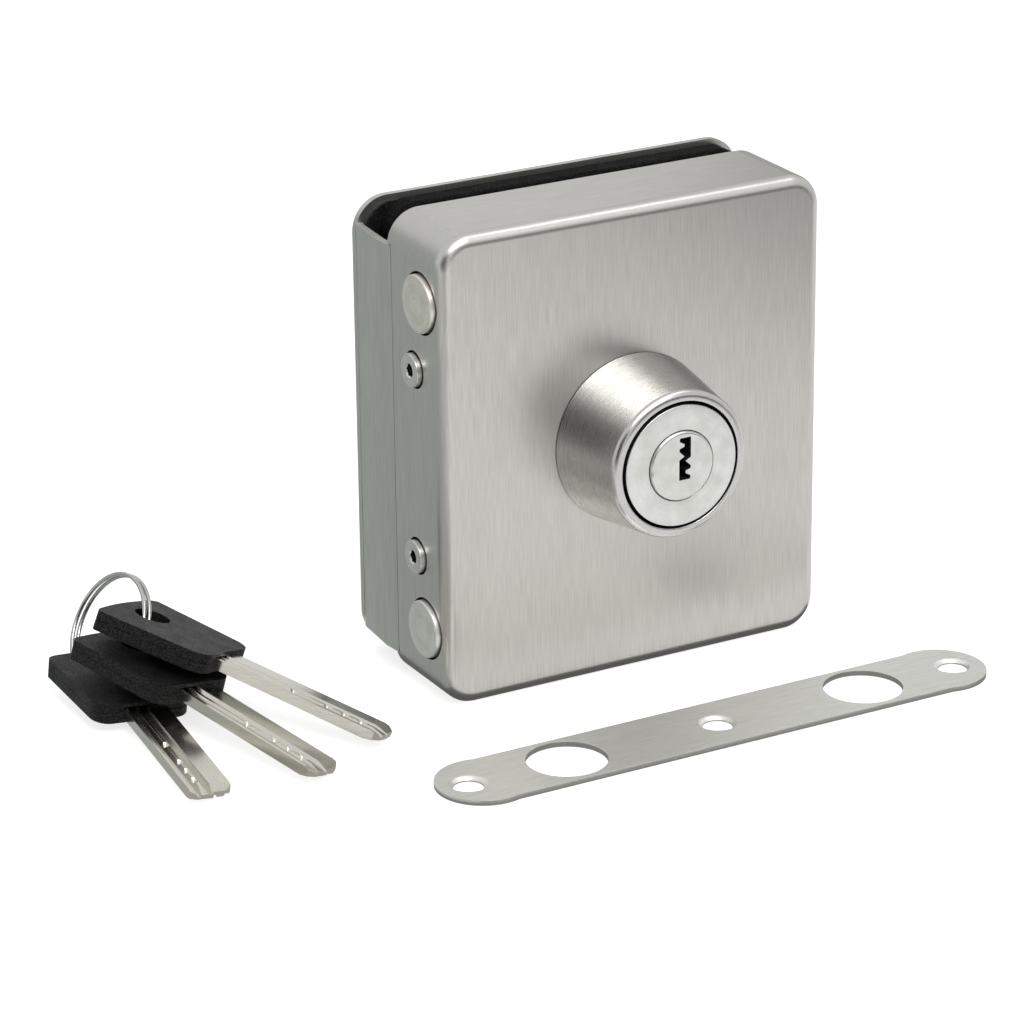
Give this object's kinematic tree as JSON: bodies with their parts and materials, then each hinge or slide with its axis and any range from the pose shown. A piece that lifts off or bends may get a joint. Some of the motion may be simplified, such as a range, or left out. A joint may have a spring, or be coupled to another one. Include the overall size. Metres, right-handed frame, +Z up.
{
  "type": "glass door bolt lock",
  "caption": "Surface lock that clamps onto a glass door, with a key cylinder, two round bolts, a flat strike plate and keys on a split ring.",
  "frame": {"origin": "middle of the cover's bottom face, halfway between its front face and rear edge", "axes": "+X to the right seen from the front, -Y out of the cylinder's face, +Z up"},
  "size_m": [0.173, 0.1063, 0.1],
  "materials": {
    "brushed_cover": "vertical brushed grain",
    "brushed_plate": "rolled and brushed",
    "die_cast": "die cast, matt",
    "turned_collar": "turned and satin polished",
    "nickel_brass": "brass with satin nickel plating",
    "raw_brass": "turned brass",
    "spring_wire": "drawn wire",
    "zinc_steel": "stamped, zinc plated",
    "bolt_steel": "hardened and turned",
    "screw_steel": "cold headed stainless",
    "nylon": "moulded nylon",
    "gasket_rubber": "moulded rubber",
    "foam_rubber": "rough foam rubber",
    "strike_steel": "ground lengthwise",
    "nickel_silver": "milled nickel silver",
    "bow_plastic": "fine eroded texture"
  },
  "bodies": {
    "lock": {"front_cover": "brushed_cover", "lock_case": "die_cast", "cylinder_bridge": "zinc_steel", "bridge_screws": "screw_steel", "cylinder_collar": "turned_collar", "cylinder_housing": "nickel_brass", "cylinder_nut": "nickel_brass", "driver_pins": "raw_brass", "pin_springs": "spring_wire", "carriage_guide_pins": "zinc_steel", "cover_screws": "screw_steel", "clamp_screws": "screw_steel", "clamp_sleeves": "nylon", "plate_nuts": "zinc_steel", "front_gasket": "gasket_rubber", "rear_pad": "foam_rubber", "rear_liner": "gasket_rubber", "back_plate": "brushed_plate", "strike_plate": "strike_steel", "split_ring": "spring_wire"},
    "plug": {"cylinder_plug": "nickel_brass", "key_pins": "raw_brass", "plug_clip": "spring_wire", "tail_bar": "zinc_steel", "drive_pinion": "zinc_steel"},
    "bolts": {"bolt_upper": "bolt_steel", "bolt_lower": "bolt_steel", "bolt_carriage": "zinc_steel", "carriage_screws": "screw_steel"},
    "key_1": {"key_1_blade": "nickel_silver", "key_1_bow": "bow_plastic"},
    "key_2": {"key_2_blade": "nickel_silver", "key_2_bow": "bow_plastic"},
    "key_3": {"key_3_blade": "nickel_silver", "key_3_bow": "bow_plastic"}
  },
  "joints": [
    {"name": "plug_turn", "type": "hinge", "parent": "lock", "child": "plug", "pos_m": [-0.0005, -0.014, 0.051], "axis": [0, 1, 0], "range_deg": [0, 180]},
    {"name": "bolt_throw", "type": "slide", "parent": "lock", "child": "bolts", "axis": [-1, 0, 0], "range_m": [0, 0.01885]},
    {"name": "key_1_swing", "type": "hinge", "parent": "lock", "child": "key_1", "pos_m": [-0.09176, 0.02835, 0.01476], "axis": [-0.3613, 0.0275, -0.932], "range_deg": [0, 8]},
    {"name": "key_2_swing", "type": "hinge", "parent": "lock", "child": "key_2", "pos_m": [-0.09579, 0.02657, 0.00997], "axis": [-0.2469, 0.0755, -0.9661], "range_deg": [0, 8]},
    {"name": "key_3_swing", "type": "hinge", "parent": "lock", "child": "key_3", "pos_m": [-0.09826, 0.03138, 0.00462], "axis": [-0.0821, 0.0642, -0.9946], "range_deg": [0, 8]}
  ],
  "couplings": [
    {"joint": "plug_turn", "follows": "bolt_throw", "rad_per_m": 166.67}
  ]
}
